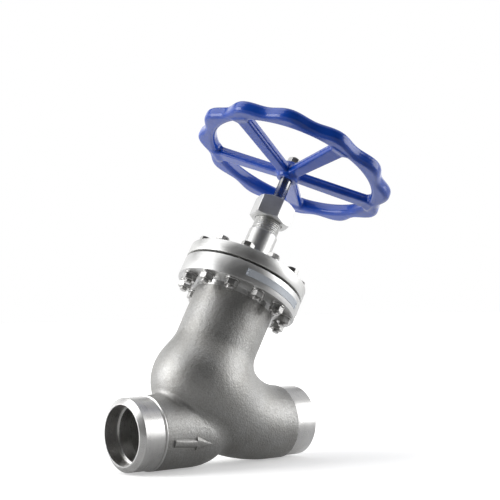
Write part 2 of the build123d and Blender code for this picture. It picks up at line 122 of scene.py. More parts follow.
# --- Stem ------------------------------------------------------------------------------------
STEM_R, STEM_BOTTOM_S, STEM_SHOULDER_S = 7.0, 32.0, 313.0
STEM_HEAD_R, STEM_HEAD_TOP_S = 9.5, 38.0
BACK_SEAT_R, BACK_SEAT_S = 10.5, 138.0
STEM_SQUARE, STEM_SQUARE_TOP_S, STUD_TOP_S = 9.5, 328.0, 339.5

# --- Fasteners -------------------------------------------------------------------------------
BOLT_COUNT, BOLT_CIRCLE_R, BOLT_PHASE = 12, 57.5, 15.0
BOLT_HOLE_R, BOLT_LENGTH, BOLT_THREAD_LENGTH = 4.5, 50.0, 10.0
HEAD_HEIGHT, NUT_HEIGHT, WASHER = 5.3, 6.5, 1.6
M8 = {"radius": 3.98, "pitch": 1.25, "flats": 13.0}

# --- Handwheel -------------------------------------------------------------------------------
RIM_INNER_R, RIM_OUTER_R, LOBE_HEIGHT, LOBE_COUNT, LOBE_PHASE = 94.5, 111.9, 3.6, 12, 13.0
RIM_S = (324.6, 339.6)
HUB_R, HUB_S = 12.0, (310.0, 329.5)
RIM_ROUNDING = 5.5
SPOKE_COUNT, SPOKE_PHASE, SPOKE_HUB_S, SPOKE_HEIGHT = 5, 44.0, 314.5, 10.0
SPOKE_HALF_WIDTH_HUB, SPOKE_WIDENING = 6.6, 1.9
WHEEL_CELL = 1.0


# === Meshes ==================================================================================


def new_object(name, points, faces, matrix=None, sharp=35.0):
    """A mesh object from points in millimetres, placed in metres by a frame matrix."""
    mesh = bpy.data.meshes.new(name)
    co = np.asarray(points, float) * MM
    mesh.from_pydata(co.tolist(), [], [tuple(int(i) for i in f) for f in faces])
    if matrix is not None:
        mesh.transform(matrix)
    mesh.validate()
    mesh.update()
    mesh.shade_smooth()
    if sharp:
        mesh.set_sharp_from_angle(angle=radians(sharp))
    obj = bpy.data.objects.new(name, mesh)
    bpy.context.scene.collection.objects.link(obj)
    return obj


def skin(rings, closed_loop=False, cap_ends=True):
    """Points and faces of a tube skinned over rings that have the same number of points."""
    rings = [np.asarray(r, float) for r in rings]
    n = len(rings[0])
    points = np.concatenate(rings)
    faces = []
    pairs = list(zip(range(len(rings) - 1), range(1, len(rings))))
    if closed_loop:
        pairs.append((len(rings) - 1, 0))
    for a, b in pairs:
        for i in range(n):
            j = (i + 1) % n
            faces.append((a * n + i, a * n + j, b * n + j, b * n + i))
    if cap_ends and not closed_loop:
        faces.append(tuple(range(n - 1, -1, -1)))
        faces.append(tuple(range((len(rings) - 1) * n, len(rings) * n)))
    return points, faces


def merged(parts):
    """Several (points, faces) pairs as one."""
    points, faces, start = [], [], 0
    for p, f in parts:
        points.append(np.asarray(p, float))
        faces.extend(tuple(i + start for i in face) for face in f)
        start += len(p)
    return np.concatenate(points), faces


def even(count):
    """Evenly spaced angles round the axis."""
    return np.arange(count) * 2 * pi / count


def hex_angles():
    """Angles for the rings of a hexagon, closer at the corners so that each is a small facet."""
    offsets = radians(1) * np.array([-28.8, -24, -16, -8, 0, 8, 16, 24, 28.8])
    sides = even(6)
    return (sides[:, None] + offsets[None, :]).ravel()


ROUND = even(160)
SMALL_ROUND = even(64)
HEX = hex_angles()


def ring(radius, height, turn):
    """One ring about the upright axis; radius and height may hold one value per angle."""
    radius = np.broadcast_to(radius, turn.shape)
    height = np.broadcast_to(height, turn.shape)
    return np.stack([radius * np.cos(turn), radius * np.sin(turn), height], 1)


def lathe(profile, turn=ROUND):
    """A solid of revolution from a closed outline of (radius, height), listed anticlockwise."""
    return skin([ring(r, s, turn) for r, s in profile], closed_loop=True)


def fillet_arc(corner, start, end, steps=5):
    """Points round a quarter-like corner, from start to end, bulging towards the corner."""
    corner, start, end = (np.array(v, float) for v in (corner, start, end))
    points = []
    for i in range(steps + 1):
        t = i / steps
        points.append(tuple((1 - t) ** 2 * start + 2 * t * (1 - t) * corner + t * t * end))
    return points


def copies_round(part, count, phase, radius):
    """A part repeated about the bonnet axis, each pushed out to a radius."""
    points, faces = part
    copies = []
    for i in range(count):
        turn = radians(phase + 360.0 * i / count)
        c, s = cos(turn), sin(turn)
        x = points[:, 0] + radius
        moved = np.stack([c * x - s * points[:, 1], s * x + c * points[:, 1], points[:, 2]], 1)
        copies.append((moved, faces))
    return merged(copies)


def thread(radius, pitch, bottom, top, turn, depth_share=0.6):
    """Rings of a right-hand screw thread, listed from the bottom up, fading in at both ends."""
    depth = depth_share * pitch
    steps = max(2, int(round((top - bottom) / pitch * 10)))
    rings = []
    for i in range(steps + 1):
        s = bottom + (top - bottom) * i / steps
        phase = (s / pitch - turn / (2 * pi)) % 1.0
        wave = np.clip(np.abs(phase * 2 - 1) * 1.7 - 0.45, 0, 1)
        fade = min(1.0, (s - bottom) / pitch + 0.2, (top - s) / pitch + 0.2)
        rings.append(ring(radius - depth * wave * fade, s, turn))
    return rings


def hexagon(flats, turn=HEX):
    """Radius of a hexagon at each angle."""
    part = (turn + pi / 6) % (pi / 3) - pi / 6
    return flats / 2 / np.cos(part)


def hex_rings(flats, bottom, top, chamfer_bottom=True, chamfer_top=True):
    """Rings up the outside of a hexagon whose corners are turned off at 30 degrees."""
    out = hexagon(flats)
    face_r = flats / 2 * 0.95
    cut = (out - face_r) * tan(radians(30))
    soft = 0.2
    if chamfer_bottom:
        rings = [ring(face_r, bottom, HEX), ring(out, bottom + cut, HEX)]
    else:
        rings = [ring(out - soft, bottom, HEX), ring(out, bottom + soft, HEX)]
    if chamfer_top:
        rings += [ring(out, top - cut, HEX), ring(face_r, top, HEX)]
    else:
        rings += [ring(out, top - soft, HEX), ring(out - soft, top, HEX)]
    return rings


def drilled(obj, holes):
    """An object with closed tubes taken out of it."""
    cutter = new_object("cutter", *holes, matrix=BONNET)
    modifier = obj.modifiers.new("holes", "BOOLEAN")
    modifier.operation = "DIFFERENCE"
    modifier.solver = "EXACT"
    modifier.object = cutter
    graph = bpy.context.evaluated_depsgraph_get()
    cut = bpy.data.meshes.new_from_object(obj.evaluated_get(graph))
    obj.modifiers.clear()
    obj.data = cut
    cut.shade_smooth()
    cut.set_sharp_from_angle(angle=radians(25))
    bpy.data.objects.remove(cutter)
    return obj


# === Implicit castings =======================================================================


def blend(a, b, size):
    """Smooth union: the smaller of two fields, with a fillet of about the given size."""
    h = np.maximum(size - np.abs(a - b), 0) / size
    return np.minimum(a, b) - h * h * size / 4


def carve(a, b, size):
    """Smooth difference: field a with the shape b taken out."""
    return -blend(-a, b, size)


def meet(a, b, size):
    """Smooth intersection of two fields."""
    return -blend(-a, -b, size)


def in_bonnet(p):
    """Pipe-frame points in the bonnet frame: across, along y, and height s."""
    x = p[..., 0] - CROSSING_X
    e = x * ACROSS.x + p[..., 2] * ACROSS.z
    s = x * AXIS.x + p[..., 2] * AXIS.z
    return e, p[..., 1], s


def pod(p, radius, shoulder, length, side):
    """A round-ended branch on the pipe axis; side is +1 where it ends towards the outlet."""
    over = np.maximum((p[..., 0] - shoulder) * side, 0)
    r = np.hypot(p[..., 1], p[..., 2])
    k0 = np.sqrt((r / radius) ** 2 + (over / length) ** 2)
    k1 = np.sqrt((r / radius**2) ** 2 + (over / length**2) ** 2)
    return k0 * (k0 - 1) / np.maximum(k1, 1e-9)


def casting_field(p):
    """The cast body, negative inside the metal."""
    e, y, s = in_bonnet(p)
    r = np.hypot(e, y)
    inlet = pod(p, INLET_R, INLET_SHOULDER, INLET_LENGTH, 1)
    outlet = pod(p, OUTLET_R, OUTLET_SHOULDER, OUTLET_LENGTH, -1)
    chamber = np.sqrt(r * r + (s - CHAMBER_S) ** 2) - CHAMBER_R
    neck = np.maximum(r - NECK_R, CHAMBER_S - s)
    outside = blend(chamber, outlet, CHAMBER_FILLET)
    outside = blend(outside, neck, NECK_FILLET)
    outside = blend(outside, inlet, INLET_FILLET)
    outside = np.maximum(outside, s - BODY_FLANGE_S[0] - NECK_OVERLAP)

    way_in = pod(p, PASSAGE_R, INLET_SHOULDER, INLET_LENGTH - WALL, 1)
    way_in = meet(way_in, s - PARTITION_BOTTOM_S, 3.0)
    way_out = pod(p, PASSAGE_R, OUTLET_SHOULDER, OUTLET_LENGTH - WALL, -1)
    way_out = meet(way_out, PARTITION_TOP_S + 1.5 - s, 3.0)
    hollow = np.sqrt(r * r + (s - CHAMBER_S) ** 2) - (CHAMBER_R - WALL)
    hollow = np.minimum(hollow, np.maximum(r - DISC_CLEARANCE_R, s - CHAMBER_S))
    hollow = meet(hollow, PARTITION_TOP_S - s, 1.0)
    neck_bore = np.maximum(r - NECK_BORE_R, CHAMBER_S - s)
    throat = np.maximum(r - THROAT_R, np.maximum(s - PARTITION_TOP_S, -8.0 - s))
    inside = blend(blend(hollow, neck_bore, 6.0), way_out, 6.0)
    inside = np.minimum(inside, blend(way_in, throat, 2.0))
    body = carve(outside, inside, 1.0)
    ends = np.maximum(CAST_START - p[..., 0], p[..., 0] - (FACE_TO_FACE - CAST_START))
    return np.maximum(body, ends)


def spoke_frames(e, y):
    """Distance along and across each spoke, for points given in the bonnet frame."""
    for i in range(SPOKE_COUNT):
        turn = radians(SPOKE_PHASE + 360.0 * i / SPOKE_COUNT)
        yield e * cos(turn) + y * sin(turn), -e * sin(turn) + y * cos(turn)


def rounded_box(qx, qy, round_r):
    """Field of a rounded rectangle, from distances outside its inner corner lines."""
    outer = np.hypot(np.maximum(qx + round_r, 0), np.maximum(qy + round_r, 0))
    return outer + np.minimum(np.maximum(qx, qy) + round_r, 0) - round_r


def wheel_field(q):
    """The handwheel casting, in the bonnet frame, negative inside the metal."""
    e, y, s = q[..., 0], q[..., 1], q[..., 2]
    r = np.hypot(e, y)
    turn = np.arctan2(y, e)
    lobe = np.cos(LOBE_COUNT * (turn - radians(LOBE_PHASE)))
    outer_r = RIM_OUTER_R + LOBE_HEIGHT * lobe
    middle = (RIM_INNER_R + outer_r) / 2
    half_width = (outer_r - RIM_INNER_R) / 2
    mid_s = (RIM_S[0] + RIM_S[1]) / 2
    half_height = (RIM_S[1] - RIM_S[0]) / 2
    rim = rounded_box(np.abs(r - middle) - half_width, np.abs(s - mid_s) - half_height, RIM_ROUNDING)

    hub_mid = (HUB_S[0] + HUB_S[1]) / 2
    hub = rounded_box(r - HUB_R, np.abs(s - hub_mid) - (HUB_S[1] - HUB_S[0]) / 2, 1.5)
    wheel = None
    share = np.clip((r - HUB_R) / (RIM_INNER_R - HUB_R), 0, 1.1)
    low = SPOKE_HUB_S + (RIM_S[0] + 0.5 - SPOKE_HUB_S) * share
    centre = low + SPOKE_HEIGHT / 2
    half_wide = SPOKE_HALF_WIDTH_HUB + SPOKE_WIDENING * share
    for along, across in spoke_frames(e, y):
        side = np.abs(across) - half_wide
        web = rounded_box(side, np.abs(s - centre) - SPOKE_HEIGHT / 2, 1.6)
        seam = rounded_box(side - 0.7, np.abs(s - centre) - 0.8, 0.5)
        web = blend(web, seam, 0.8)
        reach = np.maximum(-along, r - (RIM_INNER_R + 4.0))
        web = np.maximum(web, reach)
        wheel = web if wheel is None else blend(wheel, web, 3.0)
    wheel = blend(wheel, hub, 4.0)
    wheel = blend(wheel, rim, 6.0)
    socket = np.maximum(r - STEM_R - 0.1, s - STEM_SHOULDER_S - 0.05)
    square = np.maximum(np.maximum(np.abs(e), np.abs(y)) - STEM_SQUARE / 2 - 0.05, r - STEM_R)
    return carve(wheel, np.minimum(socket, square), 0.3)


CORNERS = [(0, 0, 0), (1, 0, 0), (0, 1, 0), (1, 1, 0), (0, 0, 1), (1, 0, 1), (0, 1, 1), (1, 1, 1)]


def implicit_mesh(field, low, high, cell):
    """Closed quad mesh of the surface where the field is zero.

    One vertex goes in each grid cell that the surface crosses, one quad across each grid edge
    that changes sign, and the vertices are then pulled onto the surface along its gradient.
    """
    axes = [np.arange(lo, hi + cell, cell) for lo, hi in zip(low, high)]
    shape = [len(a) for a in axes]
    values = np.empty(shape, np.float32)
    yy, zz = np.meshgrid(axes[1], axes[2], indexing="ij")
    for i, x in enumerate(axes[0]):
        values[i] = field(np.stack([np.full_like(yy, x), yy, zz], -1))
    inside = values < 0
    cells = [n - 1 for n in shape]
    count = np.zeros(cells, np.uint8)
    for dx, dy, dz in CORNERS:
        count += inside[dx : dx + cells[0], dy : dy + cells[1], dz : dz + cells[2]]
    mixed = (count > 0) & (count < 8)
    index = np.full(cells, -1, np.int64)
    index[mixed] = np.arange(mixed.sum())
    origin = np.array([a[0] for a in axes])
    points = origin + (np.argwhere(mixed) + 0.5) * cell
    faces = []
    for axis in range(3):
        u, v = (axis + 1) % 3, (axis + 2) % 3
        here = np.moveaxis(inside, axis, 0)
        change = np.moveaxis(here[:-1] != here[1:], 0, axis)
        at = np.argwhere(change)
        keep = (at[:, u] > 0) & (at[:, v] > 0) & (at[:, u] < shape[u] - 1) & (at[:, v] < shape[v] - 1)
        at = at[keep]
        solid_first = inside[tuple(at.T)]
        quad = []
        for du, dv in ((1, 1), (0, 1), (0, 0), (1, 0)):
            cell_at = at.copy()
            cell_at[:, u] -= du
            cell_at[:, v] -= dv
            quad.append(index[tuple(cell_at.T)])
        quad = np.stack(quad, 1)
        quad[~solid_first] = quad[~solid_first][:, ::-1]
        faces.append(quad)
    return pulled_to_surface(field, points, cell), np.concatenate(faces).tolist()


def pulled_to_surface(field, points, cell, passes=6, step=0.02):
    """Points moved along the field's gradient until the field is close to zero at each."""
    for _ in range(passes):
        value = field(points)
        gradient = np.empty_like(points)
        for axis in range(3):
            shift = np.zeros(3)
            shift[axis] = step
            gradient[:, axis] = (field(points + shift) - field(points - shift)) / (2 * step)
        size = np.maximum((gradient**2).sum(1), 0.05)
        move = gradient * (value / size)[:, None]
        length = np.linalg.norm(move, axis=1, keepdims=True)
        move *= np.minimum(1, 0.7 * cell / np.maximum(length, 1e-9))
        points = points - move
    return points


# === Materials ===============================================================================


class Graph:
    """A node tree under construction: short calls that add a node and link its inputs."""

    def __init__(self, owner):
        owner.use_nodes = True
        self.tree = owner.node_tree
        self.tree.nodes.clear()

    def add(self, kind):
        return self.tree.nodes.new("ShaderNode" + kind)

    def link(self, source, target):
        self.tree.links.new(source, target)

    def feed(self, socket, value):
        """Sets a socket, or links it where the value is another node's output."""
        if isinstance(value, bpy.types.NodeSocket):
            self.link(value, socket)
        else:
            socket.default_value = value

    def position(self):
        return self.add("TexCoord").outputs["Object"]

    def maths(self, operation, a, b=0.0, c=0.0):
        node = self.add("Math")
        node.operation = operation
        for socket, value in zip(node.inputs, (a, b, c)):
            self.feed(socket, value)
        return node.outputs[0]

    def weighted(self, share, a, b):
        """Two values mixed, with the given share of the first."""
        return self.maths("ADD", self.maths("MULTIPLY", a, share), self.maths("MULTIPLY", b, 1 - share))

    def vector(self, operation, a, b):
        node = self.add("VectorMath")
        node.operation = operation
        self.feed(node.inputs[0], a)
        self.feed(node.inputs[1], b)
        return node.outputs["Value" if operation in ("DOT_PRODUCT", "LENGTH") else "Vector"]

    def noise(self, grain, detail=3.0, roughness=0.5):
        """Noise with the given grain in millimetres, from 0 to 1."""
        node = self.add("TexNoise")
        self.feed(node.inputs["Vector"], self.position())
        node.inputs["Scale"].default_value = 1 / (grain * MM)
        node.inputs["Detail"].default_value = detail
        node.inputs["Roughness"].default_value = roughness
        return node.outputs["Fac"]

    def line_noise(self, grain, along, detail=2.0):
        """Noise that changes only along one distance."""
        node = self.add("TexNoise")
        node.noise_dimensions = "1D"
        self.feed(node.inputs["W"], along)
        node.inputs["Scale"].default_value = 1 / (grain * MM)
        node.inputs["Detail"].default_value = detail
        return node.outputs["Fac"]

    def pits(self, grain):
        """Distance to the nearest of many scattered points, for small dents."""
        node = self.add("TexVoronoi")
        self.feed(node.inputs["Vector"], self.position())
        node.inputs["Scale"].default_value = 1 / (grain * MM)
        return node.outputs["Distance"]

    def ramp(self, value, low, high, out_low=0.0, out_high=1.0, smooth=False):
        """A value remapped and kept between two levels."""
        node = self.add("MapRange")
        for name, v in (("Value", value), ("From Min", low), ("From Max", high)):
            self.feed(node.inputs[name], v)
        self.feed(node.inputs["To Min"], out_low)
        self.feed(node.inputs["To Max"], out_high)
        if smooth:
            node.interpolation_type = "SMOOTHSTEP"
        return node.outputs["Result"]

    def mix(self, share, a, b):
        """A mix of two colours."""
        node = self.add("Mix")
        node.data_type = "RGBA"
        self.feed(node.inputs["Factor"], share)
        self.feed(node.inputs["A"], a if isinstance(a, bpy.types.NodeSocket) else (*a, 1.0))
        self.feed(node.inputs["B"], b if isinstance(b, bpy.types.NodeSocket) else (*b, 1.0))
        return node.outputs["Result"]

    def bump(self, height, depth, under=None):
        """Surface relief of a depth in millimetres; under is an earlier bump to add to."""
        node = self.add("Bump")
        node.inputs["Strength"].default_value = 1.0
        node.inputs["Distance"].default_value = depth * MM
        self.feed(node.inputs["Height"], height)
        if under is not None:
            self.feed(node.inputs["Normal"], under)
        return node.outputs["Normal"]


class Shader(Graph):
    """A material built on one Principled shader."""

    def __init__(self, name):
        self.material = bpy.data.materials.new(name)
        super().__init__(self.material)
        output = self.add("OutputMaterial")
        self.surface = self.add("BsdfPrincipled")
        self.link(self.surface.outputs["BSDF"], output.inputs["Surface"])

    def set(self, **values):
        """Sets inputs of the Principled shader; base_color stands for Base Color, and so on."""
        for name, value in values.items():
            words = name.replace("_", " ").title().replace("Ior", "IOR")
            self.feed(self.surface.inputs[words], value)


def bonnet_distances(g):
    """Distance from the bonnet axis and height along it, as shader values."""
    offset = g.vector("SUBTRACT", g.position(), tuple(CROSSING))
    s = g.vector("DOT_PRODUCT", offset, tuple(AXIS))
    e = g.vector("DOT_PRODUCT", offset, tuple(ACROSS))
    y = g.vector("DOT_PRODUCT", offset, (0, 1, 0))
    r = g.maths("SQRT", g.maths("ADD", g.maths("MULTIPLY", e, e), g.maths("MULTIPLY", y, y)))
    return r, s


def pipe_distances(g):
    """Distance from the pipe axis and length along it, as shader values."""
    x = g.vector("DOT_PRODUCT", g.position(), (1, 0, 0))
    y = g.vector("DOT_PRODUCT", g.position(), (0, 1, 0))
    z = g.vector("DOT_PRODUCT", g.position(), (0, 0, 1))
    r = g.maths("SQRT", g.maths("ADD", g.maths("MULTIPLY", y, y), g.maths("MULTIPLY", z, z)))
    return r, x


def cast_steel():
    """Blasted cast stainless: a mottled matte skin with small dents."""
    g = Shader("cast_steel")
    blotch = g.noise(22, detail=4, roughness=0.6)
    grain = g.noise(1.6, detail=4, roughness=0.7)
    tone = g.mix(g.ramp(blotch, 0.3, 0.7), (0.40, 0.395, 0.38), (0.48, 0.48, 0.475))
    speck = g.mix(g.ramp(grain, 0.35, 0.65), (0.62, 0.61, 0.60), (1.0, 1.0, 1.0))
    colour = g.add("Mix")
    colour.data_type = "RGBA"
    colour.blend_type = "MULTIPLY"
    colour.inputs["Factor"].default_value = 0.6
    g.link(tone, colour.inputs["A"])
    g.link(speck, colour.inputs["B"])
    swell = g.bump(g.noise(9, detail=2), 0.15)
    mottle = g.bump(g.noise(3.2, detail=3, roughness=0.6), 0.3, swell)
    dents = g.bump(g.pits(1.8), 0.08, mottle)
    relief = g.bump(grain, 0.12, dents)
    rough = g.ramp(g.noise(3, detail=3), 0.3, 0.7, 0.44, 0.54)
    g.set(base_color=colour.outputs["Result"], metallic=0.86, roughness=rough, normal=relief)
    return g.material


def turned_steel(name, colour, distances, rough, depth=0.006):
    """Machined stainless: fine turning marks about an axis, with a few deeper ones."""
    g = Shader(name)
    r, along = distances(g)
    sweep = g.maths("ADD", r, along)
    fine = g.line_noise(0.16, sweep, detail=1)
    broad = g.line_noise(1.1, g.maths("SUBTRACT", r, along), detail=2)
    blotch = g.noise(14, detail=4, roughness=0.6)
    shade = tuple(0.86 * c for c in colour)
    tone = g.mix(g.ramp(g.weighted(0.7, blotch, broad), 0.35, 0.65), shade, colour)
    marks = g.bump(fine, depth)
    scratches = g.bump(g.noise(0.5, detail=4, roughness=0.7), depth * 0.7, marks)
    finish = g.ramp(g.weighted(0.5, fine, blotch), 0.3, 0.7, rough - 0.05, rough + 0.08)
    g.set(base_color=tone, metallic=1.0, roughness=finish, normal=scratches)
    return g.material


def forged_steel(name, colour, rough, grain=0.35, depth=0.012):
    """Cold-formed stainless fasteners: a soft sheen with small dents."""
    g = Shader(name)
    blotch = g.noise(4, detail=4, roughness=0.6)
    tone = g.mix(g.ramp(blotch, 0.35, 0.65), tuple(0.8 * c for c in colour), colour)
    dents = g.bump(g.noise(grain, detail=3, roughness=0.6), depth)
    swell = g.bump(g.noise(2.2, detail=2), depth * 2, dents)
    g.set(base_color=tone, metallic=1.0, normal=swell)
    g.set(roughness=g.ramp(g.noise(1.5, detail=3), 0.3, 0.7, rough - 0.05, rough + 0.08))
    return g.material


def blue_paint():
    """Glossy blue paint with orange peel, over the low swells of a casting."""
    g = Shader("blue_paint")
    blotch = g.noise(30, detail=3)
    colour = g.mix(g.ramp(blotch, 0.3, 0.7), (0.002, 0.055, 0.40), (0.003, 0.07, 0.48))
    peel = g.bump(g.noise(1.5, detail=2, roughness=0.5), 0.045)
    cast_skin = g.bump(g.noise(9, detail=1), 0.2, peel)
    rough = g.ramp(g.noise(5, detail=3), 0.3, 0.7, 0.3, 0.38)
    g.set(base_color=colour, roughness=rough, specular_ior_level=0.25)
    g.set(normal=cast_skin, coat_weight=0.7, coat_roughness=0.04)
    return g.material


def plate_metal():
    """The bare plate and its rivets: a pale satin face, finely brushed."""
    g = Shader("plate_metal")
    along = bonnet_distances(g)[1]
    brushed = g.line_noise(0.12, along, detail=2)
    wear = g.noise(3.0, detail=4, roughness=0.6)
    tone = g.mix(g.ramp(wear, 0.35, 0.7), (0.56, 0.60, 0.66), (0.64, 0.68, 0.73))
    relief = g.bump(g.noise(0.4, detail=3), 0.006, g.bump(brushed, 0.004))
    g.set(base_color=tone, metallic=0.1, normal=relief)
    g.set(roughness=g.ramp(brushed, 0.3, 0.7, 0.34, 0.44))
    return g.material


def plain_solid(name, colour, grain, depth, rough, metallic=0.0):
    """Bronze, graphite, PTFE and rubber inside the valve: an even body with a fine surface."""
    g = Shader(name)
    fine = g.noise(grain, detail=4, roughness=0.6)
    tone = g.mix(g.ramp(g.noise(grain * 12, detail=3), 0.3, 0.7), tuple(0.8 * c for c in colour), colour)
    g.set(base_color=tone, metallic=metallic, normal=g.bump(fine, depth))
    g.set(roughness=g.ramp(fine, 0.3, 0.7, rough - 0.06, rough + 0.06))
    return g.material


MATERIALS = {
    "cast_steel": cast_steel(),
    "body_flange_steel": turned_steel("body_flange_steel", (0.68, 0.68, 0.675), bonnet_distances, 0.4),
    "weld_end_steel": turned_steel("weld_end_steel", (0.76, 0.755, 0.745), pipe_distances, 0.3),
    "machined_steel": turned_steel("machined_steel", (0.70, 0.70, 0.69), bonnet_distances, 0.4),
    "fastener_steel": forged_steel("fastener_steel", (0.60, 0.595, 0.585), 0.32),
    # The stem's base colour is much darker than the other steel. This is painted shade that stands in for
    # the dark reflections on its polished face.
    "stem_steel": turned_steel("stem_steel", (0.33, 0.33, 0.33), bonnet_distances, 0.16, 0.002),
    "bronze": plain_solid("bronze", (0.62, 0.42, 0.2), 0.4, 0.01, 0.35, 1.0),
    "graphite": plain_solid("graphite", (0.05, 0.05, 0.055), 0.5, 0.03, 0.6),
    "seal_plastic": plain_solid("seal_plastic", (0.82, 0.82, 0.8), 0.6, 0.01, 0.45),
    "wiper_rubber": plain_solid("wiper_rubber", (0.03, 0.03, 0.03), 0.4, 0.02, 0.7),
    "blue_paint": blue_paint(),
    "plate_metal": plate_metal(),
}


def dress(obj, material):
    obj.data.materials.clear()
    obj.data.materials.append(MATERIALS[material])


def add_piece(name, part, body, nodes, slot, material=None, matrix=BONNET, sharp=25.0):
    """A new piece in place of CAD nodes, riding on their body."""
    obj = new_object(name, *part, matrix=matrix, sharp=sharp)
    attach(obj, body)
    if nodes:
        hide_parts(*nodes)
    dress(obj, material or slot)
    return obj


# === Pieces ==================================================================================


def cast_body():
    """The casting between the weld ends and up to the flange, with its chambers and passages."""
    low = (CAST_START - 1.6, -60.0, -52.0)
    high = (FACE_TO_FACE - CAST_START + 1.6, 60.0, 172.0)
    part = implicit_mesh(casting_field, low, high, CAST_CELL)
    return add_piece("cast_body", part, "valve_body", ["body_casting"], "cast_steel", matrix=None, sharp=40)


def branch_radius(x, turn):
    """Distance from the pipe axis to the casting's outside, at a length and an angle."""
    low = np.full(np.shape(x), 30.0)
    high = np.full(np.shape(x), 60.0)
    for _ in range(24):
        middle = (low + high) / 2
        p = np.stack([x, middle * np.cos(turn), middle * np.sin(turn)], -1)
        outside = casting_field(p) > 0
        high = np.where(outside, middle, high)
        low = np.where(outside, low, middle)
    return low


def flow_arrow():
    """A raised arrow cast on the near side of the inlet branch, pointing with the flow."""
    start, head, tip = 38.0, 66.0, 86.0
    shaft_half, head_half, height = 4.6, 8.2, 2.0
    start_turn, climb = -167.5, 5.8
    lengths = [start, start + 0.5]
    lengths += list(np.linspace(start + 2, head - 0.2, 12))
    lengths += list(np.linspace(head, tip, 14))
    across = np.array([-1.0, -0.92, -0.6, -0.42, 0.0, 0.42, 0.6, 0.92, 1.0, 0.9, 0.0, -0.9])
    share = np.array([-0.3, 0.1, 0.85, 1.0, 1.0, 1.0, 0.85, 0.1, -0.3, -0.8, -0.8, -0.8])
    lift = height * share
    rings = []
    for x in lengths:
        half = shaft_half if x < head else head_half * (tip - x + 0.6) / (tip - head)
        rise = -0.3 if x == start else 0.0
        turn = radians(start_turn + climb * (x - start) / (tip - start)) + across * half / INLET_R
        r = branch_radius(np.full(turn.shape, x), turn) + lift + rise
        rings.append(np.stack([np.full(turn.shape, x), r * np.cos(turn), r * np.sin(turn)], -1))
    return add_piece("flow_arrow", skin(rings), "valve_body", [], "cast_steel", matrix=None, sharp=30)


def weld_end(name, matrix, body_r):
    """A machined pipe end: welding bevel, land, a cut groove and the lip where the casting starts."""
    groove_r = END_R - GROOVE_DEPTH
    lip = CAST_START + 0.6
    profile = [
        (BORE_R, 0.15),
        (BORE_R + 0.15, 0),
        (BORE_R + ROOT_FACE, 0),
        (BORE_R + ROOT_FACE + 0.2, 0.12),
        (END_R - 0.15, BEVEL_DEPTH - 0.3),
        (END_R, BEVEL_DEPTH),
        (END_R, LAND_LENGTH),
        (groove_r, LAND_LENGTH + 0.6),
        (groove_r, LAND_LENGTH + 1.0),
        (body_r - 0.2, LAND_LENGTH + 1.6),
        (body_r, LAND_LENGTH + 2.0),
        (body_r, lip - 0.3),
        (body_r - 0.3, lip),
        (PASSAGE_R, lip),
        (PASSAGE_R, BORE_STEP + 0.4),
        (PASSAGE_R + 0.4, BORE_STEP),
        (BORE_R, BORE_STEP),
    ]
    return add_piece(
        name, lathe(profile), "valve_body", ["body_casting"], "cast_steel", "weld_end_steel", matrix
    )


def bolt_holes(bottom, top):
    """Closed tubes through a flange at the bolt places."""
    tube = skin([ring(BOLT_HOLE_R, bottom, SMALL_ROUND), ring(BOLT_HOLE_R, top, SMALL_ROUND)])
    return copies_round(tube, BOLT_COUNT, BOLT_PHASE, BOLT_CIRCLE_R)


def body_flange():
    """The flange at the top of the neck, with the recess that the gasket lies in."""
    low, high = BODY_FLANGE_S
    profile = [
        (NECK_BORE_R, low - NECK_OVERLAP),
        (NECK_R + 0.1, low - NECK_OVERLAP),
        (NECK_R + 0.1, low - 1.2),
        (NECK_R + 0.4, low - 0.4),
        (NECK_R + 1.2, low),
        (FLANGE_R - 1.0, low),
        (FLANGE_R - 0.3, low + 0.3),
        (FLANGE_R, low + 1.0),
        (FLANGE_R, high - 0.9),
        (FLANGE_R - 0.25, high - 0.25),
        (FLANGE_R - 0.9, high),
        (RECESS_R, high),
        (RECESS_R, GASKET_SEAT_S),
        (NECK_BORE_R, GASKET_SEAT_S),
    ]
    obj = add_piece(
        "body_flange", lathe(profile), "valve_body", ["body_casting"], "cast_steel", "body_flange_steel"
    )
    return drilled(obj, bolt_holes(low - 1, high + 1))


def bonnet_flange():
    """The bonnet's flange, with the spigot and the raised ring that press on the gasket."""
    low, high = BONNET_FLANGE_S
    raised_r = RECESS_R - 0.4
    profile = [
        (STEM_R + 0.3, SPIGOT_BOTTOM_S),
        (SPIGOT_R, SPIGOT_BOTTOM_S),
        (SPIGOT_R, SPIGOT_SEAT_S),
        (raised_r, SPIGOT_SEAT_S),
        (raised_r, low),
        (FLANGE_R - 0.9, low),
        (FLANGE_R - 0.25, low + 0.25),
        (FLANGE_R, low + 0.9),
        (FLANGE_R, high - 1.0),
        (FLANGE_R - 0.3, high - 0.3),
        (FLANGE_R - 1.0, high),
        (TUBE_R - 2.0, high),
        (STEM_R + 0.3, high),
    ]
    obj = add_piece("bonnet_flange", lathe(profile), "valve_body", ["bonnet"], "machined_steel")
    return drilled(obj, bolt_holes(low - 1, high + 1))


